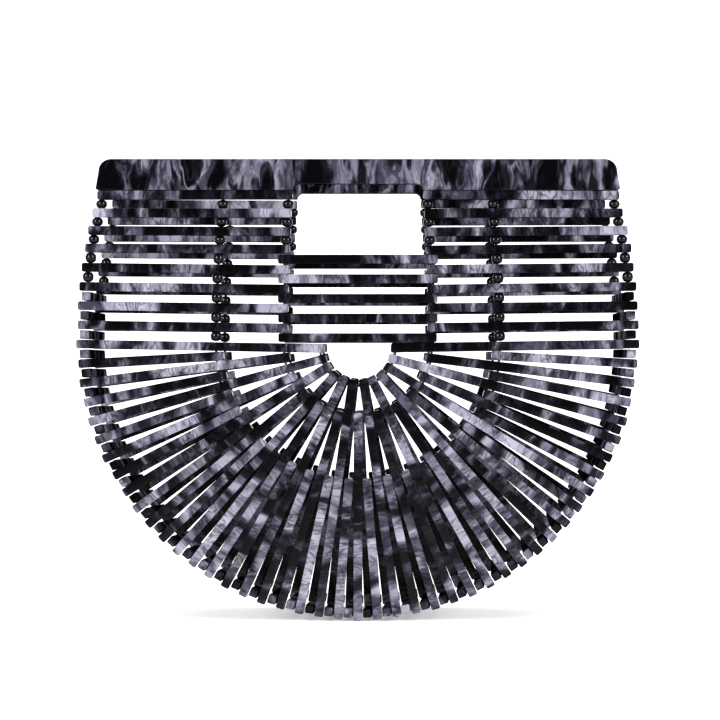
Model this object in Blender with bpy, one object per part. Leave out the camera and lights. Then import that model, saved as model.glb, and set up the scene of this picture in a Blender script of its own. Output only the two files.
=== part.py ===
"""Half-moon handbag of acrylic slats, front and back panels joined by cross slats round the rim.

Metres, +Z up, +Y towards the back, origin on the ground under the middle of the bag.
Each panel is a fan of slats below, level rows of slats above it and a grip bar on top.
Strings run through the slats in rings round the hub, and turn up through the rows with beads on them.
"""

import math

import bmesh
import bpy
from mathutils import Matrix, Vector

# Stock that the slats are cut from, and the fits between pieces.
SLAT_WIDTH = 0.0038
SLAT_DEPTH = 0.006
CROSS_WIDTH = 0.0037
CROSS_HEIGHT = 0.0038
CROSS_RIM_INSET = 0.0014
CLEARANCE = 0.0003

# Outside of the bag.
BAG_DEPTH = 0.088
RIM_RADIUS = 0.1202
SIDE_LEAN = 0.0084

# The fan: slats of three lengths, long ones at every fourth place and medium ones halfway between.
FAN_STEPS = 44
LONG_EVERY = 4
MEDIUM_EVERY = 2
HUB_DROP = 0.0037
SIDE_DROOP = 0.0017
LONG_START = 0.0141
MEDIUM_START = 0.0294
SHORT_START = 0.0573
# How far the back fan's slats lie round from the front's at the bottom of the rim, in fan places.
BACK_FAN_SHIFT = 0.5

# Rings of string, as the length of slat left beyond each.
HUB_STRING_INSET = 0.0022
MEDIUM_STRING_INSET = 0.0022
SHORT_STRING_INSET = 0.0033
RIM_STRING_INSET = 0.0032
STRING_RADIUS = 0.0006
STRING_SIDES = 4

# The level rows, counted up from the topmost slat of the fan.
WIDE_ROWS = 5
BEAD_ROWS = 3
WIDE_PITCH = 0.0082
BEAD_PITCH = 0.0075
CROSS_ROWS = 3
ROW_END_BEYOND_STRING = 0.0018
MIDDLE_STRING_LEAN = 0.0033
INNER_STRING_LEAN = 0.0020
CENTRE_SLAT_END_BEYOND_STRING = 0.0028
BEAD_DIAMETER = 0.0048
BEAD_BITE = 0.0001
BEAD_SIDES = 10
# Share of the bead's half height, share of its radius.
BEAD_PROFILE = [(-1, 0.5), (-0.45, 0.95), (0.45, 0.95), (1, 0.5)]

# The grip bar.
HANDLE_HEIGHT = 0.0132
HANDLE_DEPTH = 0.008
HANDLE_CORNER_RADIUS = 0.0053
HANDLE_SIDE_TAPER = 0.0012
NOTCH_HEIGHT = 0.0026
ARC_STEPS = 5

# Finish: linear red, green and blue of the smoky acrylic.
GRIP_SMOKE = (0.075, 0.073, 0.09)
SLAT_SMOKE = (0.06, 0.06, 0.075)
ACRYLIC_ROUGHNESS = 0.15

# Places that follow from the sizes above.
ROWS = WIDE_ROWS + BEAD_ROWS
RIM_CENTRE = Vector((0, RIM_RADIUS))
HUB = RIM_CENTRE - Vector((0, HUB_DROP))
HUB_STRING_RADIUS = LONG_START + HUB_STRING_INSET
MEDIUM_STRING_RADIUS = MEDIUM_START + MEDIUM_STRING_INSET
SHORT_STRING_RADIUS = SHORT_START + SHORT_STRING_INSET
RIM_STRING_RADIUS = RIM_RADIUS - RIM_STRING_INSET
FIRST_RIM_ANGLE = math.asin((HUB_DROP - SIDE_DROOP) / RIM_STRING_RADIUS)
PANEL_Y = (BAG_DEPTH - HANDLE_DEPTH) / 2
CROSS_LENGTH = 2 * PANEL_Y + SLAT_DEPTH
STACK_HEIGHT = WIDE_ROWS * WIDE_PITCH + BEAD_ROWS * BEAD_PITCH


def around(centre, radius, angle):
    """Point at an angle below the level line on the left of a centre, in the panel's X and Z."""
    return centre + Vector((-radius * math.cos(angle), -radius * math.sin(angle)))


def rim_point(place):
    """Where the rim string crosses a fan place; a half place lies between two slats."""
    step = (math.pi - 2 * FIRST_RIM_ANGLE) / FAN_STEPS
    return around(RIM_CENTRE, RIM_STRING_RADIUS, FIRST_RIM_ANGLE + place * step)


def at_rim(place, shift):
    """Fan place where a slat meets the rim; the shift is whole at the bottom and none at the ends."""
    return place + shift * math.sin(math.pi * place / FAN_STEPS)


def fan_axis(place, shift=0.0):
    """Hub-side point and outward direction of the slat at a fan place."""
    inner = around(HUB, HUB_STRING_RADIUS, place * math.pi / FAN_STEPS)
    return inner, (rim_point(at_rim(place, shift)) - inner).normalized()


def on_fan_slat(place, radius, shift=0.0):
    """Point of a fan slat's axis at a distance from the hub."""
    inner, outward = fan_axis(place, shift)
    return inner + outward * (radius - HUB_STRING_RADIUS)


def fan_start(place):
    """Distance from the hub to the inner end of the slat at a fan place."""
    if place % LONG_EVERY == 0:
        return LONG_START
    if place % MEDIUM_EVERY == 0:
        return MEDIUM_START
    return SHORT_START


def row_height(row):
    """Height of a row at the rim above the fan's topmost slat."""
    wide = min(row, WIDE_ROWS)
    return wide * WIDE_PITCH + (row - wide) * BEAD_PITCH


def string_x(row, lowest_x, lean):
    """Distance of an upright string from the middle; it leans in by the square of its height."""
    return lowest_x - lean * (row_height(row) / STACK_HEIGHT) ** 2


def row_rim(row):
    """Where the rim string crosses a row on the left."""
    first = rim_point(0)
    return Vector((-string_x(row, -first.x, SIDE_LEAN), first.y + row_height(row)))


def row_inner(row):
    """Where the inner string crosses a row on the left; lower rows droop more towards it."""
    fan_slat = on_fan_slat(0, MEDIUM_STRING_RADIUS)
    droop = (rim_point(0).y - fan_slat.y) * (1 - row / ROWS)
    x = -string_x(row, -fan_slat.x, INNER_STRING_LEAN)
    return Vector((x, row_rim(row).y - droop))


def row_middle(row):
    """Where the middle string crosses a row on the left."""
    x = -string_x(row, SHORT_STRING_RADIUS, MIDDLE_STRING_LEAN)
    inner, rim = row_inner(row), row_rim(row)
    return inner + (rim - inner) * ((x - inner.x) / (rim.x - inner.x))


def slat_outline(start, end):
    """Four corners of a slat whose axis runs between two points."""
    side = (end - start).normalized().orthogonal() * SLAT_WIDTH / 2
    return [start - side, end - side, end + side, start + side]


def add_prism(mesh, outline, depth, mirror=1):
    """Adds the solid between an outline in X and Z and its copy a depth further along Y."""
    front = [mesh.verts.new((mirror * p.x, -depth / 2, p.y)) for p in outline]
    back = [mesh.verts.new((mirror * p.x, depth / 2, p.y)) for p in outline]
    mesh.faces.new(front)
    mesh.faces.new(back[::-1])
    for i in range(len(outline)):
        j = (i + 1) % len(outline)
        mesh.faces.new((front[j], front[i], back[i], back[j]))


def add_rings(mesh, rings):
    """Adds a closed skin over rings of equal length."""
    loops = [[mesh.verts.new(p) for p in ring] for ring in rings]
    mesh.faces.new(loops[0][::-1])
    mesh.faces.new(loops[-1])
    for low, high in zip(loops, loops[1:]):
        for i in range(len(low)):
            j = (i + 1) % len(low)
            mesh.faces.new((low[i], low[j], high[j], high[i]))


def add_string(mesh, path, radius, mirror=1):
    """Adds a tube along points in X and Z."""
    rings = []
    for i, point in enumerate(path):
        before, after = path[max(i - 1, 0)], path[min(i + 1, len(path) - 1)]
        across = (after - before).normalized().orthogonal()
        ring = []
        for n in range(STRING_SIDES):
            turn = 2 * math.pi * (n + 0.5) / STRING_SIDES
            flat = point + across * radius * math.cos(turn)
            ring.append((mirror * flat.x, radius * math.sin(turn), flat.y))
        rings.append(ring)
    add_rings(mesh, rings)


def add_bead(mesh, x, low, high, mirror=1):
    """Adds a bead that fills the space between two heights."""
    middle, half = (low + high) / 2, (high - low) / 2
    rings = []
    for rise, width in BEAD_PROFILE:
        radius = width * BEAD_DIAMETER / 2
        turns = [2 * math.pi * n / BEAD_SIDES for n in range(BEAD_SIDES)]
        rings.append(
            [
                (mirror * x + radius * math.cos(t), radius * math.sin(t), middle + rise * half)
                for t in turns
            ]
        )
    add_rings(mesh, rings)


def solid(name, build):
    """Mesh of one or more closed shapes that a function adds, with its faces turned outwards."""
    shape = bmesh.new()
    build(shape)
    bmesh.ops.recalc_face_normals(shape, faces=shape.faces)
    mesh = bpy.data.meshes.new(name)
    shape.to_mesh(mesh)
    shape.free()
    return mesh


def combined(name, base, *steps):
    """Mesh of a base joined with, or cut by, other meshes in turn."""
    target = bpy.data.objects.new(name, base)
    bpy.context.collection.objects.link(target)
    helpers = []
    for operation, mesh in steps:
        helper = bpy.data.objects.new(name + "_helper", mesh)
        bpy.context.collection.objects.link(helper)
        helpers.append(helper)
        boolean = target.modifiers.new(operation, "BOOLEAN")
        boolean.operation = operation
        boolean.solver = "EXACT"
        boolean.object = helper
    bpy.context.view_layer.update()
    graph = bpy.context.evaluated_depsgraph_get()
    result = bpy.data.meshes.new_from_object(target.evaluated_get(graph))
    result.name = name
    for helper in [target, *helpers]:
        bpy.data.objects.remove(helper)
    return result


def fan_mesh(shift):
    """Slats of three lengths round the hub, held by three rings of string."""

    def slats(shape):
        for place in range(FAN_STEPS + 1):
            inner, outward = fan_axis(place, shift)
            from_rim_centre = inner - RIM_CENTRE
            along = from_rim_centre.dot(outward)
            reach = math.sqrt(along**2 - from_rim_centre.length_squared + RIM_RADIUS**2) - along
            start = on_fan_slat(place, fan_start(place), shift)
            add_prism(shape, slat_outline(start, inner + outward * reach), SLAT_DEPTH)

    def strings(shape):
        rings = (
            (LONG_EVERY, HUB_STRING_RADIUS),
            (MEDIUM_EVERY, MEDIUM_STRING_RADIUS),
            (1, SHORT_STRING_RADIUS),
        )
        for every, radius in rings:
            places = range(0, FAN_STEPS + 1, every)
            add_string(shape, [on_fan_slat(place, radius, shift) for place in places], STRING_RADIUS)

    return combined("fan", solid("slats", slats), ("UNION", solid("strings", strings)))


def rows_mesh(mirror):
    """Level slats of one side, with the beads between them and the strings that they hang on."""
    numbers = range(1, ROWS + 1)

    def slats(shape):
        for row in numbers:
            inner, rim = row_inner(row), row_rim(row)
            outward = (rim - inner).normalized()
            end = rim + outward * RIM_STRING_INSET
            start = inner - outward * ROW_END_BEYOND_STRING
            add_prism(shape, slat_outline(start, end), SLAT_DEPTH, mirror)

    lowest_gap = SLAT_WIDTH / 2 + CLEARANCE
    lowest_bead = row_middle(0) + Vector((0, lowest_gap))
    columns = (
        (row_rim, CROSS_ROWS),
        (row_middle, 1),
        (row_inner, WIDE_ROWS),
    )

    def strings(shape):
        for place, first in columns:
            path = [place(row) for row in range(first, ROWS + 1)]
            if place is row_middle:
                path.insert(0, lowest_bead + Vector((0, STRING_RADIUS)))
            add_string(shape, path, STRING_RADIUS, mirror)

    def beads(shape):
        half = SLAT_WIDTH / 2 - BEAD_BITE
        for place, first in columns:
            for row in range(first, ROWS):
                low, high = place(row), place(row + 1)
                add_bead(shape, (low.x + high.x) / 2, low.y + half, high.y - half, mirror)
        top = row_middle(1)
        add_bead(shape, (lowest_bead.x + top.x) / 2, lowest_bead.y, top.y - half, mirror)

    def string_holes(shape):
        """Square holes for the centre slats' strings; a clearance across flats is more at a corner."""
        corner_clearance = CLEARANCE / math.cos(math.pi / STRING_SIDES)
        path = [row_inner(row) for row in range(WIDE_ROWS)]
        path.append(centre_point(WIDE_ROWS - 1))
        add_string(shape, path, STRING_RADIUS + corner_clearance, mirror)

    return combined(
        "rows",
        solid("slats", slats),
        ("UNION", solid("strings", strings)),
        ("UNION", solid("beads", beads)),
        ("DIFFERENCE", solid("holes", string_holes)),
    )


def centre_point(row):
    """Where the left inner string crosses the centre slat above a row."""
    return (row_inner(row) + row_inner(row + 1)) / 2


def centre_mesh():
    """Level slats under the grip opening, threaded between the rows of both sides."""

    def slats(shape):
        end = Vector((centre_point(0).x - CENTRE_SLAT_END_BEYOND_STRING, 0))
        for row in range(WIDE_ROWS):
            level = Vector((0, centre_point(row).y))
            add_prism(shape, slat_outline(level - end, level + end), SLAT_DEPTH)

    def strings(shape):
        for mirror in (1, -1):
            path = [centre_point(0)]
            for row in range(1, WIDE_ROWS):
                path += [row_inner(row), centre_point(row)]
            add_string(shape, path, STRING_RADIUS, mirror)

    return combined("centre", solid("slats", slats), ("UNION", solid("strings", strings)))


def arc(centre, radius, first, last):
    """Points of an arc between two angles in degrees."""
    angles = [math.radians(first + (last - first) * n / ARC_STEPS) for n in range(ARC_STEPS + 1)]
    return [centre + Vector((math.cos(a), math.sin(a))) * radius for a in angles]


def handle_mesh():
    """Grip bar with round top corners and a shallow notch over the grip opening."""
    top_row = row_rim(ROWS)
    low = top_row.y + SLAT_WIDTH / 2 + CLEARANCE
    high = low + HANDLE_HEIGHT
    foot = -top_row.x + RIM_STRING_INSET
    shoulder = foot - HANDLE_SIDE_TAPER
    notch = -row_inner(ROWS).x - ROW_END_BEYOND_STRING
    corner = Vector((shoulder - HANDLE_CORNER_RADIUS, high - HANDLE_CORNER_RADIUS))
    fillet = Vector((notch - NOTCH_HEIGHT, low))
    right = [Vector((foot, low))]
    right += arc(corner, HANDLE_CORNER_RADIUS, 0, 90)
    notch_side = arc(fillet, NOTCH_HEIGHT, 90, 0)
    left = [Vector((-p.x, p.y)) for p in reversed(right)]
    notch_left = [Vector((-p.x, p.y)) for p in reversed(notch_side)]
    outline = right + left + notch_left + notch_side
    return solid("handle", lambda shape: add_prism(shape, outline, HANDLE_DEPTH))


def cross_frame(front, back, inner_side):
    """Placing of a cross slat whose axis crosses both panels at given points."""
    start = Vector((front.x, -PANEL_Y, front.y))
    end = Vector((back.x, PANEL_Y, back.y))
    along = (end - start).normalized()
    across = along.cross(Vector((inner_side.x, 0, inner_side.y))).normalized()
    turn = Matrix((across, along, across.cross(along))).transposed()
    return Matrix.Translation((start + end) / 2) @ turn.to_4x4()


def cross_frames():
    """Placings of the cross slats, from the left side down round the rim to the right."""
    inward = CROSS_RIM_INSET + CROSS_HEIGHT / 2 - RIM_STRING_INSET
    left, right = [], []
    for row in range(CROSS_ROWS):
        point = (row_rim(row) + row_rim(row + 1)) / 2 + Vector((inward, 0))
        mirrored = Vector((-point.x, point.y))
        left.append(cross_frame(point, point, Vector((1, 0))))
        right.append(cross_frame(mirrored, mirrored, Vector((-1, 0))))
    fan = []
    for n in range(FAN_STEPS):
        rims = [rim_point(at_rim(n + 0.5, shift)) for shift in (0, BACK_FAN_SHIFT)]
        to_centre = [(RIM_CENTRE - rim).normalized() for rim in rims]
        front, back = (rim + towards * inward for rim, towards in zip(rims, to_centre))
        fan.append(cross_frame(front, back, to_centre[0] + to_centre[1]))
    return left[::-1] + fan + right


def cross_mesh():
    """One cross slat, along Y, with its tall side along Z."""
    half = Vector((CROSS_WIDTH / 2, CROSS_HEIGHT / 2))
    outline = [
        Vector((-half.x, -half.y)),
        Vector((half.x, -half.y)),
        Vector((half.x, half.y)),
        Vector((-half.x, half.y)),
    ]
    return solid("cross_slat", lambda shape: add_prism(shape, outline, CROSS_LENGTH))


def acrylic(name, smoke):
    """Polished acrylic of the mean colour of its black ground and grey clouds."""
    material = bpy.data.materials.new(name)
    material.use_nodes = True
    shader = material.node_tree.nodes["Principled BSDF"]
    shader.inputs["Base Color"].default_value = (*smoke, 1)
    shader.inputs["Roughness"].default_value = ACRYLIC_ROUGHNESS
    shader.inputs["Metallic"].default_value = 0.0
    return material


def place_piece(name, mesh, parent, placing):
    """Puts a named piece in the bag."""
    piece = bpy.data.objects.new(name, mesh)
    bpy.context.collection.objects.link(piece)
    piece.parent = parent
    piece.matrix_local = placing
    return piece


def build_bag():
    """Builds every piece of the bag under one empty."""
    for old in list(bpy.data.objects):
        bpy.data.objects.remove(old)
    bag = bpy.data.objects.new("bag", None)
    bpy.context.collection.objects.link(bag)
    same_in_both = {
        "handle": handle_mesh(),
        "left_rows": rows_mesh(1),
        "right_rows": rows_mesh(-1),
        "centre_slats": centre_mesh(),
    }
    fans = {"front": fan_mesh(0), "back": fan_mesh(BACK_FAN_SHIFT)}
    cross = cross_mesh()
    grip_finish = acrylic("grip_acrylic", GRIP_SMOKE)
    slat_finish = acrylic("slat_acrylic", SLAT_SMOKE)
    for mesh in [*same_in_both.values(), *fans.values(), cross]:
        mesh.materials.clear()
        mesh.materials.append(grip_finish if mesh is same_in_both["handle"] else slat_finish)
    for side, y in (("front", -PANEL_Y), ("back", PANEL_Y)):
        placing = Matrix.Translation((0, y, 0))
        for piece, mesh in [*same_in_both.items(), ("fan", fans[side])]:
            place_piece(f"{side}_{piece}", mesh, bag, placing)
    for n, placing in enumerate(cross_frames(), start=1):
        place_piece(f"cross_slat_{n:02d}", cross, bag, placing)


build_bag()
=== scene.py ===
import math

import bpy
import numpy as np
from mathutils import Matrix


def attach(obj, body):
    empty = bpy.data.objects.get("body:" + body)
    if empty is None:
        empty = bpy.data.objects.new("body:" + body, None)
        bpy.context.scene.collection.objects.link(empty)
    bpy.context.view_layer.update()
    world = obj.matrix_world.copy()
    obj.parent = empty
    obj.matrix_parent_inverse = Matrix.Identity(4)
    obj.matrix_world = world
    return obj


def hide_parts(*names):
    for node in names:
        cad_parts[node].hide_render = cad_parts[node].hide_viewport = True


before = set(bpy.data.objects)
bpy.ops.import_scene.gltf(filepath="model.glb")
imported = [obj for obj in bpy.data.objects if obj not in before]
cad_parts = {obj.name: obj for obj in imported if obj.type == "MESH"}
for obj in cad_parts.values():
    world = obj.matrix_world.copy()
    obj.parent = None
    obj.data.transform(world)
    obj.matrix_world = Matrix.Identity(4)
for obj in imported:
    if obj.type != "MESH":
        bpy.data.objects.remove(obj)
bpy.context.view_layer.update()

MM = 0.001

# Slats and cross slats, and how far their edges are rounded.
SLAT_WIDTH = 3.8 * MM
SLAT_DEPTH = 6.0 * MM
CROSS_WIDTH = 3.7 * MM
CROSS_HEIGHT = 3.8 * MM
CROSS_RIM_INSET = 1.4 * MM
CLEARANCE = 0.3 * MM
EDGE_RADIUS = 0.22 * MM
END_RADIUS = 0.8 * MM
CROSS_EDGE_RADIUS = 0.5 * MM
GRIP_EDGE_RADIUS = 0.35 * MM
# Points on the quarter turn of a rounded edge.
EDGE_STEPS = 4
GRIP_EDGE_STEPS = 5
# Share of its corners' radius that a bar has lost where it meets its end face.
END_CORNER_LOSS = 0.98

# Outside of the bag.
BAG_DEPTH = 88 * MM
RIM_RADIUS = 120.2 * MM
SIDE_LEAN = 8.4 * MM

# The fan.
FAN_STEPS = 44
LONG_EVERY = 4
MEDIUM_EVERY = 2
HUB_DROP = 3.7 * MM
SIDE_DROOP = 1.7 * MM
LONG_START = 14.1 * MM
MEDIUM_START = 29.4 * MM
SHORT_START = 57.3 * MM
# How much nearer the hub the slats start at the bottom of the fan than at its level ends.
START_RISE = {"long": 0.8 * MM, "medium": 1.8 * MM, "short": 1.7 * MM}
# How far the back fan's slats lie round from the front's at the bottom of the rim, in fan places.
FAN_SHIFT = {"front": 0.0, "back": 0.5}
# The bag stands on the slats that lie within this many fan places of the bottom.
STANDS_WITHIN = 0.6

# Rings of string, as the length of slat left beyond each.
HUB_STRING_INSET = 2.2 * MM
MEDIUM_STRING_INSET = 2.2 * MM
SHORT_STRING_INSET = 3.3 * MM
RIM_STRING_INSET = 3.2 * MM
STRING_RADIUS = 0.55 * MM

# The level rows, counted up from the topmost slat of the fan.
WIDE_ROWS = 5
BEAD_ROWS = 3
WIDE_PITCH = 8.2 * MM
BEAD_PITCH = 7.5 * MM
CROSS_ROWS = 3
ROW_END_BEYOND_STRING = 1.8 * MM
MIDDLE_STRING_LEAN = 3.3 * MM
INNER_STRING_LEAN = 2.0 * MM
CENTRE_SLAT_END_BEYOND_STRING = 2.8 * MM

# Beads: their radius, the power of their profile, and the share of a half turn that it runs through.
BEAD_RADIUS = 2.4 * MM
BEAD_POWER = 2.6
BEAD_REACH = 0.93

# The grip bar.
HANDLE_HEIGHT = 13.2 * MM
HANDLE_DEPTH = 8.0 * MM
HANDLE_CORNER_RADIUS = 5.3 * MM
HANDLE_SIDE_TAPER = 1.2 * MM
NOTCH_HEIGHT = 2.6 * MM
FOOT_RADIUS = 0.9 * MM

# How far hand-threaded slats stray from true: shorter at their outer and their inner ends, to and fro
# in depth, and to either side at the ends that no cross slat holds.
END_STRAY = 0.7 * MM
INNER_END_STRAY = 0.2 * MM
DEPTH_STRAY = 0.6 * MM
SIDE_STRAY = 0.35 * MM
# How far to either side of its middle bars are sawn from the sheet, in millimetres of its pattern.
SHEET_SPREAD = 600.0
SEED = 11

# The camera looks level from in front, from the height and distance read from the photograph.
CAMERA_PLACE = (8.9 * MM, -1444 * MM, 111.4 * MM)
CAMERA_LENS = 164.3
SENSOR_WIDTH = 36.0
# How far it stands to the right of the picture's middle, which its lens is shifted back to.
CAMERA_ASIDE = 8.0 * MM

# The paper sweep: its edges in front and behind, the radius it turns up through, its top and width.
SWEEP_FRONT = -2.2
SWEEP_BACK = 1.6
SWEEP_BEND = 0.7
SWEEP_TOP = 2.6
SWEEP_HALF_WIDTH = 3.0
SURROUND_STRENGTH = 0.18

# Places that follow from the sizes above.
ROWS = WIDE_ROWS + BEAD_ROWS
RIM_CENTRE = np.array([0.0, RIM_RADIUS])
HUB = RIM_CENTRE - [0.0, HUB_DROP]
HUB_STRING_RADIUS = LONG_START + HUB_STRING_INSET
MEDIUM_STRING_RADIUS = MEDIUM_START + MEDIUM_STRING_INSET
SHORT_STRING_RADIUS = SHORT_START + SHORT_STRING_INSET
RIM_STRING_RADIUS = RIM_RADIUS - RIM_STRING_INSET
FIRST_RIM_ANGLE = math.asin((HUB_DROP - SIDE_DROOP) / RIM_STRING_RADIUS)
PANEL_Y = (BAG_DEPTH - HANDLE_DEPTH) / 2
CROSS_LENGTH = 2 * PANEL_Y + SLAT_DEPTH
STACK_HEIGHT = WIDE_ROWS * WIDE_PITCH + BEAD_ROWS * BEAD_PITCH

chance = np.random.default_rng(SEED)


# Places in the panel

def unit(v):
    """A direction of length one."""
    return v / np.linalg.norm(v, axis=-1, keepdims=True)


def around(centre, radius, angle):
    """Centre plus a radius turned below the level line on the left."""
    angle = np.asarray(angle, dtype=float)
    return centre - radius * np.stack([np.cos(angle), np.sin(angle)], axis=-1)


def rim_point(place):
    """Where the rim string crosses a fan place."""
    step = (math.pi - 2 * FIRST_RIM_ANGLE) / FAN_STEPS
    return around(RIM_CENTRE, RIM_STRING_RADIUS, FIRST_RIM_ANGLE + np.asarray(place) * step)


def at_rim(place, shift):
    """Fan places at the rim: the place plus the shift times the sine of the way round."""
    place = np.asarray(place)
    return place + shift * np.sin(math.pi * place / FAN_STEPS)


def fan_axis(place, shift=0.0):
    """Hub-side point and outward direction of the slats at some fan places."""
    inner = around(HUB, HUB_STRING_RADIUS, np.asarray(place) * math.pi / FAN_STEPS)
    return inner, unit(rim_point(at_rim(place, shift)) - inner)


def on_fan_slat(place, radius, shift=0.0):
    """Points of the fan slats' axes at a distance from the hub."""
    inner, outward = fan_axis(place, shift)
    return inner + outward * (radius - HUB_STRING_RADIUS)


def row_height(row):
    """Height of a row at the rim above the fan's topmost slat."""
    wide = np.minimum(row, WIDE_ROWS)
    return wide * WIDE_PITCH + (row - wide) * BEAD_PITCH


def string_x(row, lowest_x, lean):
    """Distance of an upright string from the middle: it leans in by the square of its height."""
    return lowest_x - lean * (row_height(row) / STACK_HEIGHT) ** 2


def row_rim(row):
    """Where the rim string crosses rows on the left."""
    row = np.asarray(row)
    first = rim_point(0)
    return np.stack([-string_x(row, -first[0], SIDE_LEAN), first[1] + row_height(row)], axis=-1)


def row_inner(row):
    """Where the inner string crosses rows on the left; lower rows droop more towards it."""
    row = np.asarray(row)
    fan_slat = on_fan_slat(0, MEDIUM_STRING_RADIUS)
    droop = (rim_point(0)[1] - fan_slat[1]) * (1 - row / ROWS)
    x = -string_x(row, -fan_slat[0], INNER_STRING_LEAN)
    return np.stack([x, row_rim(row)[..., 1] - droop], axis=-1)


def row_middle(row):
    """Where the middle string crosses rows on the left."""
    row = np.asarray(row)
    inner, rim = row_inner(row), row_rim(row)
    x = -string_x(row, SHORT_STRING_RADIUS, MIDDLE_STRING_LEAN)
    share = (x - inner[..., 0]) / (rim[..., 0] - inner[..., 0])
    return inner + (rim - inner) * share[..., None]


def centre_point(row):
    """Where the left inner string crosses the centre slats above rows."""
    row = np.asarray(row)
    return (row_inner(row) + row_inner(row + 1)) / 2


# Surfaces

# Directions of the points of a rounded rectangle from their corners' centres, three to a corner.
CORNER_TURNS = np.arange(4)[:, None] * math.pi / 2 + np.linspace(0, math.pi / 2, 3)


def rounded_rectangle(width, depth, radius):
    """Loop of a rectangle with quarter-circle corners: corner centre plus radius times (cos, sin)."""
    side = np.array([[1, 1], [-1, 1], [-1, -1], [1, -1]])
    corner = side * [width / 2 - radius, depth / 2 - radius]
    loop = corner[:, None] + radius * np.stack([np.cos(CORNER_TURNS), np.sin(CORNER_TURNS)], axis=-1)
    return loop.reshape(-1, 2)


def bars(start, end, width, depth, y, radius=EDGE_RADIUS, end_radius=END_RADIUS, polish=1.0):
    """Bars with rounded edges between points of the panel, as one array of points.

    A ring is the rounded rectangle, set back along the axis by e(1 - cos a) at each end and drawn in
    by e(1 - sin a) across and r(1 - sin a) in depth, for a quarter turn of a. The second array holds
    the distance along the bar, those across and in depth, and the polish: 1 on the end faces, and
    elsewhere the given polish times |sin| of a point's direction from its corner, which is 1 on the
    two faces and 0 on the sawn sides.
    """
    start, end = np.atleast_2d(start), np.atleast_2d(end)
    count = len(start)
    along = unit(end - start)
    across = np.stack([along[:, 1], -along[:, 0]], axis=-1)
    length = np.linalg.norm(end - start, axis=1)
    turn = np.linspace(0, math.pi / 2, EDGE_STEPS)
    set_back = end_radius * (1 - np.cos(turn))
    sections = np.stack([rounded_rectangle(width - 2 * end_radius * share, depth - 2 * radius * share,
                                           radius * (1 - END_CORNER_LOSS * share))
                         for share in 1 - np.sin(turn)])
    sections = np.concatenate([sections, sections[::-1]])
    stations = np.concatenate([np.tile(set_back, (count, 1)),
                               length[:, None] - set_back[::-1]], axis=1)
    flat = (start[:, None, None] + along[:, None, None] * stations[:, :, None, None]
            + across[:, None, None] * sections[None, :, :, :1])
    level = np.broadcast_to(np.reshape(y, (-1, 1, 1, 1)) + sections[None, :, :, 1:],
                            flat.shape[:3] + (1,))
    points = np.concatenate([flat[..., :1], level, flat[..., 1:]], axis=-1)
    end_faces = np.zeros((len(sections), 1))
    end_faces[[0, -1]] = 1
    polish = np.maximum(end_faces, polish * np.abs(np.sin(CORNER_TURNS)).ravel())
    place = np.stack([np.broadcast_to(part, flat.shape[:3])
                      for part in (stations[:, :, None], sections[..., 0], sections[..., 1], polish)],
                     axis=-1)
    return points, place


def sheet_places(place):
    """Where each bar was sawn from its sheet, in millimetres: its own place plus a chance offset."""
    offset = chance.uniform(-SHEET_SPREAD, SHEET_SPREAD, (len(place), 1, 1, 3))
    return np.concatenate([place[..., :3] / MM + offset, place[..., 3:]], axis=-1)


def ring_faces(bodies, rings, around_count):
    """Quads between neighbouring rings of each body, closed at both ends by a face of the ring."""
    body = np.arange(bodies)[:, None, None] * rings * around_count
    ring = np.arange(rings - 1)[None, :, None] * around_count
    step = np.arange(around_count)[None, None, :]
    after = (step + 1) % around_count
    a = body + ring + step
    b = body + ring + after
    quads = np.stack([a, b, b + around_count, a + around_count], axis=-1).reshape(-1, 4)
    first = (body[:, 0] + np.arange(around_count)[::-1]).reshape(bodies, -1)
    last = (body[:, 0] + (rings - 1) * around_count + np.arange(around_count)).reshape(bodies, -1)
    return quads, np.concatenate([first, last])


def piece(name, points, place, material, nodes, smooth_angle=40):
    """Makes one piece from bodies of rings, sets it under the root body and hides the CAD nodes that it
    stands for.

    The sheet places become an attribute, and so does the polish where a fourth column holds it.
    """
    bodies, rings, count = points.shape[:3]
    quads, caps = ring_faces(bodies, rings, count)
    mesh = bpy.data.meshes.new(name)
    flat = points.reshape(-1, 3)
    corners = np.concatenate([quads.ravel(), caps.ravel()])
    sizes = np.concatenate([np.full(len(quads), 4), np.full(len(caps), count)])
    mesh.vertices.add(len(flat))
    mesh.vertices.foreach_set("co", flat.ravel().astype(np.float32))
    mesh.loops.add(len(corners))
    mesh.loops.foreach_set("vertex_index", corners.astype(np.int32))
    mesh.polygons.add(len(sizes))
    mesh.polygons.foreach_set("loop_start", np.concatenate([[0], np.cumsum(sizes)[:-1]]).astype(np.int32))
    mesh.update(calc_edges=True)
    mesh.validate()
    sheet = mesh.attributes.new("sheet", "FLOAT_VECTOR", "POINT")
    sheet.data.foreach_set("vector", place[..., :3].ravel().astype(np.float32))
    if place.shape[-1] == 4:
        polish = mesh.attributes.new("polish", "FLOAT", "POINT")
        polish.data.foreach_set("value", place[..., 3].ravel().astype(np.float32))
    if signed_volume(mesh) < 0:
        mesh.flip_normals()
    mesh.shade_smooth()
    mesh.set_sharp_from_angle(angle=math.radians(smooth_angle))
    mesh.materials.append(material)
    thing = bpy.data.objects.new(name, mesh)
    bpy.context.scene.collection.objects.link(thing)
    weigh = thing.modifiers.new("flat faces stay flat", "WEIGHTED_NORMAL")
    weigh.keep_sharp = True
    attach(thing, "root")
    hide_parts(*nodes)


def signed_volume(mesh):
    """Sum of the tetrahedra between the origin and each triangle of a mesh."""
    mesh.calc_loop_triangles()
    corners = np.empty(len(mesh.loop_triangles) * 3, dtype=np.int32)
    mesh.loop_triangles.foreach_get("vertices", corners)
    points = np.empty(len(mesh.vertices) * 3, dtype=np.float32)
    mesh.vertices.foreach_get("co", points)
    a, b, c = points.reshape(-1, 3)[corners].reshape(-1, 3, 3).transpose(1, 0, 2).astype(float)
    return float(np.einsum("ij,ij->", a, np.cross(b, c)))


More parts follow.
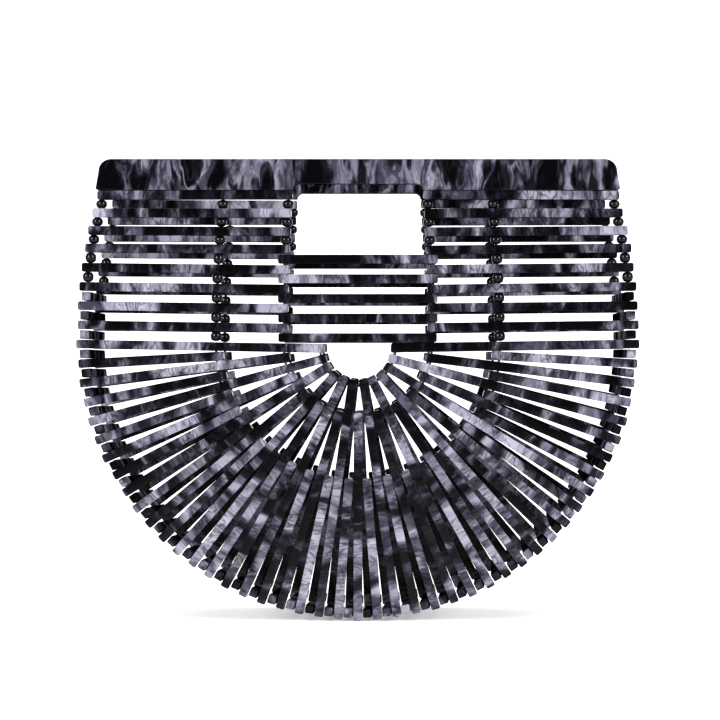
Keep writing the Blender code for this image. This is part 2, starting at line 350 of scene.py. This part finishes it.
def tubes(paths, radius, y, sides=8):
    """Round strings: a circle of a radius carried along each path, square to it."""
    path = np.stack(paths)
    tangent = unit(np.gradient(path, axis=1))
    across = np.stack([tangent[..., 1], -tangent[..., 0]], axis=-1)
    turn = np.arange(sides) * 2 * math.pi / sides
    flat = path[:, :, None] + across[:, :, None] * (radius * np.cos(turn))[:, None]
    level = np.broadcast_to(y + radius * np.sin(turn), flat.shape[:3])[..., None]
    return np.concatenate([flat[..., :1], level, flat[..., 1:]], axis=-1)


def beads(low, high, y, sides=16, rings=9):
    """Turned beads between two heights, as barrels with round shoulders.

    The radius is R(1 - |h|^n)^(1/n), for the bead power n and a height h, the sine of an angle that
    runs through BEAD_REACH of a half turn.
    """
    turn = np.arange(sides) * 2 * math.pi / sides
    rise = np.sin(np.linspace(-1, 1, rings) * math.pi / 2 * BEAD_REACH)
    radius = BEAD_RADIUS * (1 - np.abs(rise) ** BEAD_POWER) ** (1 / BEAD_POWER)
    middle = (low + high) / 2
    half = (high - low)[:, 1] / 2 / np.abs(rise).max()
    x = middle[:, 0, None, None] + (radius[:, None] * np.cos(turn))[None]
    level = y + np.broadcast_to((radius[:, None] * np.sin(turn))[None], x.shape)
    z = np.broadcast_to(middle[:, 1, None, None] + (half[:, None] * rise)[:, :, None], x.shape)
    return np.stack([x, level, z], axis=-1)


# Materials

def colour(code):
    """Linear red, green, blue and alpha of an sRGB hex value."""
    srgb = [int(code[i:i + 2], 16) / 255 for i in (1, 3, 5)]
    return (*[c / 12.92 if c <= 0.04045 else ((c + 0.055) / 1.055) ** 2.4 for c in srgb], 1.0)


def add(tree, kind, settings=None, inputs=None, links=None):
    """Adds a node with its settings, its sockets' values and the sockets that feed it."""
    node = tree.nodes.new(kind)
    for key, value in (settings or {}).items():
        setattr(node, key, value)
    for key, value in (inputs or {}).items():
        node.inputs[key].default_value = value
    for key, source in (links or {}).items():
        tree.links.new(source, node.inputs[key])
    return node


def ramp(tree, source, stops):
    """Eased colour ramp through (position, hex value) stops."""
    node = add(tree, "ShaderNodeValToRGB", links={"Fac": source})
    node.color_ramp.interpolation = "EASE"
    elements = node.color_ramp.elements
    while len(elements) < len(stops):
        elements.new(0.5)
    for element, (position, code) in zip(elements, stops):
        element.position = position
        element.color = colour(code)
    return node


def new_material(name):
    """Empty material, its node tree and its shader."""
    material = bpy.data.materials.new(name)
    material.use_nodes = True
    tree = material.node_tree
    return material, tree, tree.nodes["Principled BSDF"]


def multiply(tree, colours, factor_source, amount=None):
    """Colours times a factor, in full or by an amount that another socket gives."""
    mix = add(tree, "ShaderNodeMix", {"data_type": "RGBA", "blend_type": "MULTIPLY"},
              {"Factor": 1.0}, {6: colours, 7: factor_source})
    if amount is not None:
        tree.links.new(amount, mix.inputs["Factor"])
    return mix.outputs[2]


# How much a length counts in the pattern along a bar, across it and in depth, which makes the flames
# about three times as long across a bar as along it.
FLAME_SHARES = (1.0, 0.34, 0.5)
# Millimetres in the sheet's pattern: its folds, the stretches where it holds more or less black, its
# black threads, the patches of hairlines, and the waves of its surface.
FOLD_MM = 13.0
LOAD_MM = 50.0
THREAD_MM = 5.5
PATCH_MM = 20.0
WAVE_MM = 3.0
# Hairlines are the places where the folding field crosses every second one of this many levels.
CONTOUR_LEVELS = 34.0
# How dark the black threads are, as a share of what the hairlines are.
THREAD_SHARE = 0.85
SATIN_ROUGHNESS = 0.6
FACE_SPECULAR = 0.14


def cast_acrylic(name, cloud_mm, warp_mm, lift, load_range, line_depth, side_shade):
    """Cast acrylic sheet with black and smoke-grey pigment folded in.

    The pigment lies in flames that run up the sheet, so slats sawn across it show bands.
    To the eye it is clouds of grey in black, crossed by fine black threads and by groups of parallel
    hairlines, which are contour lines of the field that folds the clouds. Faces are polished, and
    the sides are left satin by the saw and darkened by the side tone as painted shade.
    """
    material, tree, shader = new_material(name)
    sheet = add(tree, "ShaderNodeAttribute", {"attribute_name": "sheet"}).outputs["Vector"]
    upright = add(tree, "ShaderNodeMapping", inputs={"Scale": FLAME_SHARES}, links={"Vector": sheet})
    upright = upright.outputs["Vector"]
    fold = add(tree, "ShaderNodeTexNoise",
               inputs={"Scale": 1 / FOLD_MM, "Detail": 3.0, "Roughness": 0.55},
               links={"Vector": upright})
    centred = add(tree, "ShaderNodeVectorMath", {"operation": "SUBTRACT"},
                  {1: (0.5, 0.5, 0.5)}, {0: fold.outputs["Color"]})
    pushed = add(tree, "ShaderNodeVectorMath", {"operation": "SCALE"}, {"Scale": warp_mm},
                 {0: centred.outputs["Vector"]})
    folded = add(tree, "ShaderNodeVectorMath", {"operation": "ADD"},
                 links={0: upright, 1: pushed.outputs["Vector"]}).outputs["Vector"]
    clouds = add(tree, "ShaderNodeTexNoise",
                 inputs={"Scale": 1 / cloud_mm, "Detail": 4.0, "Roughness": 0.5, "Distortion": 1.1},
                 links={"Vector": folded})
    # A slat is darker or lighter as a whole where the sheet holds more or less black.
    load = add(tree, "ShaderNodeTexNoise", inputs={"Scale": 1 / LOAD_MM, "Detail": 1.0},
               links={"Vector": sheet})
    shift = add(tree, "ShaderNodeMapRange",
                inputs={"From Min": 0.3, "From Max": 0.7,
                        "To Min": lift - load_range, "To Max": lift + load_range},
                links={"Value": load.outputs["Fac"]})
    shade = add(tree, "ShaderNodeMath", {"operation": "ADD"},
                links={0: clouds.outputs["Fac"], 1: shift.outputs["Result"]})
    smoke = ramp(tree, shade.outputs["Value"], [
        (0.37, "#020204"), (0.45, "#101016"), (0.52, "#33313d"), (0.58, "#5b5967"), (0.66, "#7d7b89"),
        (0.78, "#918f9d"),
    ])
    # Threads of black pigment, about half a millimetre wide.
    threads = add(tree, "ShaderNodeTexNoise",
                  inputs={"Scale": 1 / THREAD_MM, "Detail": 2.0, "Roughness": 0.5, "Distortion": 1.2},
                  links={"Vector": folded})
    off_middle = add(tree, "ShaderNodeMath", {"operation": "SUBTRACT"}, {1: 0.5},
                     {0: threads.outputs["Fac"]})
    from_middle = add(tree, "ShaderNodeMath", {"operation": "ABSOLUTE"},
                      links={0: off_middle.outputs["Value"]})
    thread = add(tree, "ShaderNodeMapRange",
                 inputs={"From Min": 0.004, "From Max": 0.045, "To Min": 1 - THREAD_SHARE * line_depth},
                 links={"Value": from_middle.outputs["Value"]})
    veined = multiply(tree, smoke.outputs["Color"], thread.outputs["Result"])
    # Hairlines about 0.4 mm wide and a millimetre apart, in patches.
    contours = add(tree, "ShaderNodeMath", {"operation": "MULTIPLY"}, {1: CONTOUR_LEVELS},
                   {0: fold.outputs["Fac"]})
    wave = add(tree, "ShaderNodeMath", {"operation": "PINGPONG"}, {1: 1.0},
               {0: contours.outputs["Value"]})
    hairline = add(tree, "ShaderNodeMapRange",
                   inputs={"From Min": 0.1, "From Max": 0.5, "To Min": 1 - line_depth},
                   links={"Value": wave.outputs["Value"]})
    patches = add(tree, "ShaderNodeTexNoise", inputs={"Scale": 1 / PATCH_MM, "Detail": 1.0},
                  links={"Vector": upright})
    patch = add(tree, "ShaderNodeMapRange", inputs={"From Min": 0.46, "From Max": 0.54},
                links={"Value": patches.outputs["Fac"]})
    combed = multiply(tree, veined, hairline.outputs["Result"], patch.outputs["Result"])
    # Painted shade: a bar's satin sides are darkened below its polished faces, as thin dark lines along
    # it, for the shade that falls between the parts.
    polish = add(tree, "ShaderNodeAttribute", {"attribute_name": "polish"}).outputs["Fac"]
    painted_side_shade = add(tree, "ShaderNodeMapRange", inputs={"To Min": side_shade}, links={"Value": polish})
    toned = multiply(tree, combed, painted_side_shade.outputs["Result"])
    tree.links.new(toned, shader.inputs["Base Color"])
    # The surface has waves a few thousandths of a millimetre deep.
    waves = add(tree, "ShaderNodeTexNoise", inputs={"Scale": 1 / WAVE_MM, "Detail": 2.0},
                links={"Vector": sheet})
    bump = add(tree, "ShaderNodeBump", inputs={"Strength": 0.12, "Distance": 0.05 * MM},
               links={"Height": waves.outputs["Fac"]})
    tree.links.new(bump.outputs["Normal"], shader.inputs["Normal"])
    haze = add(tree, "ShaderNodeMapRange", inputs={"To Min": 0.1, "To Max": 0.24},
               links={"Value": waves.outputs["Fac"]})
    finish = add(tree, "ShaderNodeMix", {"data_type": "FLOAT"}, {2: SATIN_ROUGHNESS},
                 {"Factor": polish, 3: haze.outputs["Result"]})
    gloss = add(tree, "ShaderNodeMapRange", inputs={"To Min": 0.0, "To Max": FACE_SPECULAR},
                links={"Value": polish})
    tree.links.new(finish.outputs[0], shader.inputs["Roughness"])
    tree.links.new(gloss.outputs["Result"], shader.inputs["Specular IOR Level"])
    shader.inputs["IOR"].default_value = 1.49
    return material


def bead_plastic():
    """Moulded black plastic beads, tumbled to a gloss: small hard highlights, faint mould haze."""
    material, tree, shader = new_material("moulded_bead_plastic")
    place = add(tree, "ShaderNodeTexCoord").outputs["Object"]
    haze = add(tree, "ShaderNodeTexNoise", inputs={"Scale": 1 / (1.5 * MM), "Detail": 2.0},
               links={"Vector": place})
    tone = ramp(tree, haze.outputs["Fac"], [(0.3, "#050507"), (0.7, "#121216")])
    rough = add(tree, "ShaderNodeMapRange", inputs={"To Min": 0.05, "To Max": 0.16},
                links={"Value": haze.outputs["Fac"]})
    tree.links.new(tone.outputs["Color"], shader.inputs["Base Color"])
    tree.links.new(rough.outputs["Result"], shader.inputs["Roughness"])
    shader.inputs["IOR"].default_value = 1.5
    shader.inputs["Specular IOR Level"].default_value = 0.18
    return material


# The wave texture's bands repeat each 2 pi / 10 of its scaled coordinates, which is 5 mm here.
BRAID_SCALE = 125.0


def braided_nylon():
    """Braided black nylon string with a low sheen.

    Its bands lie 5 mm apart along a level or an upright string, coarser than the strands of the real
    one, so that they show.
    """
    material, tree, shader = new_material("braided_nylon")
    place = add(tree, "ShaderNodeTexCoord").outputs["Object"]
    strands = add(tree, "ShaderNodeTexWave", {"wave_type": "BANDS", "bands_direction": "DIAGONAL"},
                  {"Scale": BRAID_SCALE, "Distortion": 1.0}, {"Vector": place})
    tone = ramp(tree, strands.outputs["Fac"], [(0.2, "#08080a"), (0.8, "#242428")])
    bump = add(tree, "ShaderNodeBump", inputs={"Strength": 0.5, "Distance": 0.1 * MM},
               links={"Height": strands.outputs["Fac"]})
    tree.links.new(tone.outputs["Color"], shader.inputs["Base Color"])
    tree.links.new(bump.outputs["Normal"], shader.inputs["Normal"])
    shader.inputs["Roughness"].default_value = 0.55
    shader.inputs["Sheen Weight"].default_value = 0.2
    return material


def matt_paper():
    """White paper sweep: a matt, even white, lit a little from beneath so that shadows stay faint."""
    material, tree, shader = new_material("matt_paper")
    place = add(tree, "ShaderNodeTexCoord").outputs["Object"]
    grain = add(tree, "ShaderNodeTexNoise", inputs={"Scale": 1 / (25 * MM), "Detail": 2.0},
                links={"Vector": place})
    tone = ramp(tree, grain.outputs["Fac"], [(0.3, "#f3f3f4"), (0.7, "#f7f7f8")])
    tree.links.new(tone.outputs["Color"], shader.inputs["Base Color"])
    shader.inputs["Roughness"].default_value = 0.9
    shader.inputs["Specular IOR Level"].default_value = 0.1
    shader.inputs["Emission Color"].default_value = colour("#ffffff")
    shader.inputs["Emission Strength"].default_value = 0.3
    return material


# Painted shade: the satin sides of slats and grip bars are darkened to half their colour; the cross slats'
# sides are not.
SLAT = cast_acrylic("cast_acrylic_slat", cloud_mm=12.0, warp_mm=10.0, lift=0.0, load_range=0.13,
                    line_depth=0.65, side_shade=0.5)
# The grip bars' flames are folded further, with fainter lines, and change little in how dark they are.
GRIP = cast_acrylic("cast_acrylic_grip", cloud_mm=10.0, warp_mm=26.0, lift=-0.045, load_range=0.03,
                    line_depth=0.35, side_shade=0.5)
# The cross slats are satin all round and show the sheet's own grey there.
CROSS = cast_acrylic("cast_acrylic_cross_slat", cloud_mm=12.0, warp_mm=10.0, lift=0.0,
                     load_range=0.13, line_depth=0.65, side_shade=1.0)
BEAD = bead_plastic()
STRING = braided_nylon()


# Pieces of a panel

def mirrored(points):
    """The same points on the right of the middle."""
    return points * [-1, 1]


def stray(count, size):
    """Chance distances from nothing to a size."""
    return chance.uniform(0, size, (count, 1))


def sideways(along):
    """Chance steps to either side of some directions."""
    across = np.stack([-along[:, 1], along[:, 0]], axis=-1)
    return across * (2 * stray(len(along), SIDE_STRAY) - SIDE_STRAY)


def fan_slats(side, y):
    """Long, medium and short slats: bars from their starts out to the rim circle.

    A start lies nearer the hub by its rise times the sine of the way round the fan.
    """
    place = np.arange(FAN_STEPS + 1)
    long_ones = place % LONG_EVERY == 0
    medium_ones = (place % MEDIUM_EVERY == 0) & ~long_ones
    short_ones = place % MEDIUM_EVERY == 1
    for kind, chosen, begin in (("long", long_ones, LONG_START),
                                ("medium", medium_ones, MEDIUM_START),
                                ("short", short_ones, SHORT_START)):
        at = place[chosen]
        inner, outward = fan_axis(at, FAN_SHIFT[side])
        from_centre = inner - RIM_CENTRE
        along = (from_centre * outward).sum(axis=1)
        reach = np.sqrt(along ** 2 - (from_centre ** 2).sum(axis=1) + RIM_RADIUS ** 2) - along
        # The slats that the bag stands on reach the floor; the others may stop short of the circle.
        stands = np.abs(at_rim(at, FAN_SHIFT[side]) - FAN_STEPS / 2) < STANDS_WITHIN
        short_of_rim = np.where(stands[:, None], 0, stray(len(at), END_STRAY))
        nearer = START_RISE[kind] * np.sin(math.pi * at / FAN_STEPS)[:, None]
        start = on_fan_slat(at, begin, FAN_SHIFT[side]) - outward * nearer
        start = start + outward * stray(len(at), INNER_END_STRAY) + sideways(outward)
        end = inner + outward * (reach[:, None] - short_of_rim)
        shift = chance.uniform(-DEPTH_STRAY, DEPTH_STRAY, len(at))
        points, where = bars(start, end, SLAT_WIDTH, SLAT_DEPTH, y + shift)
        piece(f"{side}_{kind}_slats", points, sheet_places(where), SLAT, [f"{side}_fan"])


def fan_strings(side, y):
    """Rings of string through the slats round the hub."""
    for name, every, radius in (("hub", LONG_EVERY, HUB_STRING_RADIUS),
                                ("medium", MEDIUM_EVERY, MEDIUM_STRING_RADIUS),
                                ("short", 1, SHORT_STRING_RADIUS)):
        place = np.arange(0, FAN_STEPS + 1, every)
        points = tubes([on_fan_slat(place, radius, FAN_SHIFT[side])], STRING_RADIUS, y)
        piece(f"{side}_{name}_string", points, points, STRING, [f"{side}_fan"])


def rows(side, hand, y):
    """Level slats of one side of a panel, their strings and their beads."""
    flip = mirrored if hand == "right" else np.array
    node = f"{side}_{hand}_rows"
    number = np.arange(1, ROWS + 1)
    inner, rim = row_inner(number), row_rim(number)
    outward = unit(rim - inner)
    end = rim + outward * (RIM_STRING_INSET - stray(ROWS, END_STRAY))
    start = inner - outward * (ROW_END_BEYOND_STRING - stray(ROWS, INNER_END_STRAY)) + sideways(outward)
    shift = chance.uniform(-DEPTH_STRAY, DEPTH_STRAY, ROWS)
    points, where = bars(flip(start), flip(end), SLAT_WIDTH, SLAT_DEPTH, y + shift)
    piece(f"{side}_{hand}_row_slats", points, sheet_places(where), SLAT, [node])
    strings, low, high = [], [], []
    for column, first in ((row_rim, CROSS_ROWS), (row_middle, 0), (row_inner, WIDE_ROWS)):
        count = np.arange(first, ROWS + 1)
        at = column(count)
        bottom = at[:-1] + [0, SLAT_WIDTH / 2]
        top = at[1:] - [0, SLAT_WIDTH / 2]
        if column is row_middle:
            bottom[0, 1] += CLEARANCE
            at[0, 1] = bottom[0, 1]
        strings.append(at)
        low.append(bottom)
        high.append(top)
    for name, path in zip(("rim", "middle", "inner"), strings):
        points = tubes([flip(path)], STRING_RADIUS, y)
        piece(f"{side}_{hand}_{name}_string", points, points, STRING, [node])
    points = beads(flip(np.concatenate(low)), flip(np.concatenate(high)), y)
    piece(f"{side}_{hand}_beads", points, points, BEAD, [node], smooth_angle=60)


def centre_slats(side, y):
    """Level slats under the grip opening, and the strings that they hang on."""
    node = f"{side}_centre_slats"
    row = np.arange(WIDE_ROWS)
    reach = -centre_point(0)[0] + CENTRE_SLAT_END_BEYOND_STRING
    height = centre_point(row)[:, 1:]
    start = np.hstack([-reach + stray(WIDE_ROWS, END_STRAY), height])
    end = np.hstack([reach - stray(WIDE_ROWS, END_STRAY), height])
    shift = chance.uniform(-DEPTH_STRAY, DEPTH_STRAY, WIDE_ROWS)
    points, where = bars(start, end, SLAT_WIDTH, SLAT_DEPTH, y + shift)
    piece(f"{side}_centre_bars", points, sheet_places(where), SLAT, [node])
    half_rows = np.arange(0.5, WIDE_ROWS, 0.5)
    path = np.stack([np.interp(half_rows, row + 0.5, centre_point(row)[:, k]) for k in (0, 1)], axis=-1)
    points = tubes([path, mirrored(path)], STRING_RADIUS, y)
    piece(f"{side}_centre_strings", points, points, STRING, [node])


def grip_outline():
    """Loop of the grip bar: arcs at its corners, feet and notch, joined by straight runs."""
    top = row_rim(ROWS)
    low = top[1] + SLAT_WIDTH / 2 + CLEARANCE
    high = low + HANDLE_HEIGHT
    foot = -top[0] + RIM_STRING_INSET
    shoulder = foot - HANDLE_SIDE_TAPER
    notch = -row_inner(ROWS)[0] - ROW_END_BEYOND_STRING

    def arc(x, z, radius, first, last, points):
        """Circle about a centre from one angle to another, in degrees up from the right."""
        angle = np.radians(np.linspace(first, last, points))
        return np.array([x, z]) + radius * np.stack([np.cos(angle), np.sin(angle)], axis=-1)

    foot_arc = arc(foot - FOOT_RADIUS, low + FOOT_RADIUS, FOOT_RADIUS, -90, 0, points=5)
    corner = arc(shoulder - HANDLE_CORNER_RADIUS, high - HANDLE_CORNER_RADIUS, HANDLE_CORNER_RADIUS,
                 0, 90, points=13)
    fillet = arc(notch - NOTCH_HEIGHT, low, NOTCH_HEIGHT, 90, 0, points=9)
    right = np.concatenate([foot_arc, corner])
    return np.concatenate([right, mirrored(right)[::-1], mirrored(fillet)[::-1], fillet])


def grip_bar(side, y):
    """Grip bar: its outline drawn in by r(1 - sin a) and set back by r(1 - cos a) at both faces."""
    outline = grip_outline()
    before, after = np.roll(outline, 1, axis=0), np.roll(outline, -1, axis=0)
    tangent = unit(unit(outline - before) + unit(after - outline))
    inward = np.stack([-tangent[:, 1], tangent[:, 0]], axis=-1)
    turn = np.linspace(0, math.pi / 2, GRIP_EDGE_STEPS)
    draw_in = GRIP_EDGE_RADIUS * (1 - np.sin(turn))
    set_back = GRIP_EDGE_RADIUS * (1 - np.cos(turn))
    draw_in = np.concatenate([draw_in, draw_in[::-1]])
    depth = np.concatenate([set_back, HANDLE_DEPTH - set_back[::-1]]) - HANDLE_DEPTH / 2
    flat = outline[None] + inward[None] * draw_in[:, None, None]
    level = np.broadcast_to((y + depth)[:, None, None], flat.shape[:2] + (1,))
    points = np.concatenate([flat[..., :1], level, flat[..., 1:]], axis=-1)[None]
    offset = chance.uniform(-SHEET_SPREAD, SHEET_SPREAD, 3)
    # The faces and their rounded edges are polished, and the wall between them is left satin and darkened
    # as painted shade.
    polish = np.broadcast_to((draw_in > 0)[None, :, None, None], points.shape[:3] + (1,))
    where = np.concatenate([points[..., [0, 2, 1]] / MM + offset, polish], axis=-1)
    piece(f"{side}_grip_bar", points, where, GRIP, [f"{side}_handle"])


def cross_slats():
    """Bars from front to back between the slats at the rim, each a piece of its own."""
    inward = CROSS_RIM_INSET + CROSS_HEIGHT / 2 - RIM_STRING_INSET
    row = np.arange(CROSS_ROWS)
    side = (row_rim(row) + row_rim(row + 1)) / 2 + [inward, 0]
    level = np.tile([[1.0, 0.0]], (CROSS_ROWS, 1))
    ends, ups = [], []
    for shift in FAN_SHIFT.values():
        rim = rim_point(at_rim(np.arange(FAN_STEPS) + 0.5, shift))
        to_centre = unit(RIM_CENTRE - rim)
        ends.append(np.concatenate([side[::-1], rim + to_centre * inward, mirrored(side)]))
        ups.append(np.concatenate([level, to_centre, -level]))
    front = np.insert(ends[0], 1, -PANEL_Y, axis=1)
    back = np.insert(ends[1], 1, PANEL_Y, axis=1)
    axis = unit(back - front)
    across = unit(np.cross(axis, np.insert(ups[0] + ups[1], 1, 0.0, axis=1)))
    tall = np.cross(across, axis)
    for n, centre in enumerate((front + back) / 2):
        # A bar is made lying along X, then its length, height and width are turned to its axes.
        half = CROSS_LENGTH / 2 - chance.uniform(0, END_STRAY)
        points, where = bars([-half, 0], [half, 0], CROSS_WIDTH, CROSS_HEIGHT, 0.0,
                             CROSS_EDGE_RADIUS, CROSS_EDGE_RADIUS, polish=0.0)
        turned = centre + points @ np.stack([axis[n], tall[n], across[n]])
        name = f"cross_slat_{n + 1:02d}"
        piece(f"{name}_bar", turned, sheet_places(where), CROSS, [name])


for side, y in (("front", -PANEL_Y), ("back", PANEL_Y)):
    grip_bar(side, y)
    fan_slats(side, y)
    fan_strings(side, y)
    rows(side, "left", y)
    rows(side, "right", y)
    centre_slats(side, y)
cross_slats()


# Studio

def sweep():
    """Paper sweep: a level floor that turns up behind the bag through a quarter circle."""
    angle = np.linspace(0, math.pi / 2, 17)
    y = np.concatenate([[SWEEP_FRONT], SWEEP_BACK + SWEEP_BEND * np.sin(angle), [SWEEP_BACK + SWEEP_BEND]])
    z = np.concatenate([[0.0], SWEEP_BEND * (1 - np.cos(angle)), [SWEEP_TOP]])
    x, row = np.meshgrid([-SWEEP_HALF_WIDTH, SWEEP_HALF_WIDTH], np.arange(len(y)), indexing="ij")
    points = np.stack([x, y[row], z[row]], axis=-1).reshape(-1, 3)
    first = np.arange(len(y) - 1)
    faces = np.stack([first, first + len(y), first + len(y) + 1, first + 1], axis=-1)
    mesh = bpy.data.meshes.new("sweep")
    mesh.from_pydata(points.tolist(), [], faces.tolist())
    mesh.materials.append(matt_paper())
    mesh.shade_smooth()
    floor = bpy.data.objects.new("sweep", mesh)
    bpy.context.scene.collection.objects.link(floor)


def softbox(name, place, target, size, power, spread=180):
    """Square area light that looks at a target, with a grid that keeps its light within a spread."""
    data = bpy.data.lights.new(name, "AREA")
    data.size = size
    data.energy = power
    data.spread = math.radians(spread)
    light = bpy.data.objects.new(name, data)
    light.location = place
    gap = np.array(target) - np.array(place)
    yaw = math.atan2(-gap[0], gap[1])
    pitch = math.atan2(gap[2], math.hypot(gap[0], gap[1]))
    light.rotation_euler = (math.pi / 2 + pitch, 0, yaw)
    bpy.context.scene.collection.objects.link(light)


def studio():
    """Sweep, softboxes, surrounding light and the camera."""
    sweep()
    bag = (0, 0, 0.1)
    upright_paper = (0, SWEEP_BACK + SWEEP_BEND, 0.5)
    softbox("top_softbox", (0.0, 0.3, 1.8), bag, size=2.4, power=24)
    softbox("left_softbox", (-1.1, -1.1, 0.6), bag, size=0.6, power=3.8, spread=60)
    softbox("right_softbox", (1.1, -1.1, 0.6), bag, size=0.6, power=3.8, spread=60)
    softbox("back_wash", (0.0, 0.9, 1.7), upright_paper, size=1.8, power=45)
    world = bpy.data.worlds.new("surround")
    world.use_nodes = True
    background = world.node_tree.nodes["Background"]
    background.inputs["Color"].default_value = colour("#f4f4f6")
    background.inputs["Strength"].default_value = SURROUND_STRENGTH
    bpy.context.scene.world = world
    data = bpy.data.cameras.new("camera")
    data.lens = CAMERA_LENS
    data.sensor_width = SENSOR_WIDTH
    distance = -CAMERA_PLACE[1] - PANEL_Y
    data.shift_x = -CAMERA_ASIDE / distance * CAMERA_LENS / SENSOR_WIDTH
    camera = bpy.data.objects.new("camera", data)
    camera.location = CAMERA_PLACE
    camera.rotation_euler = (math.pi / 2, 0, 0)
    bpy.context.scene.collection.objects.link(camera)
    bpy.context.scene.camera = camera
    # The photograph runs from true black to true white, which the plain sRGB curve keeps.
    bpy.context.scene.view_settings.view_transform = "Standard"


studio()
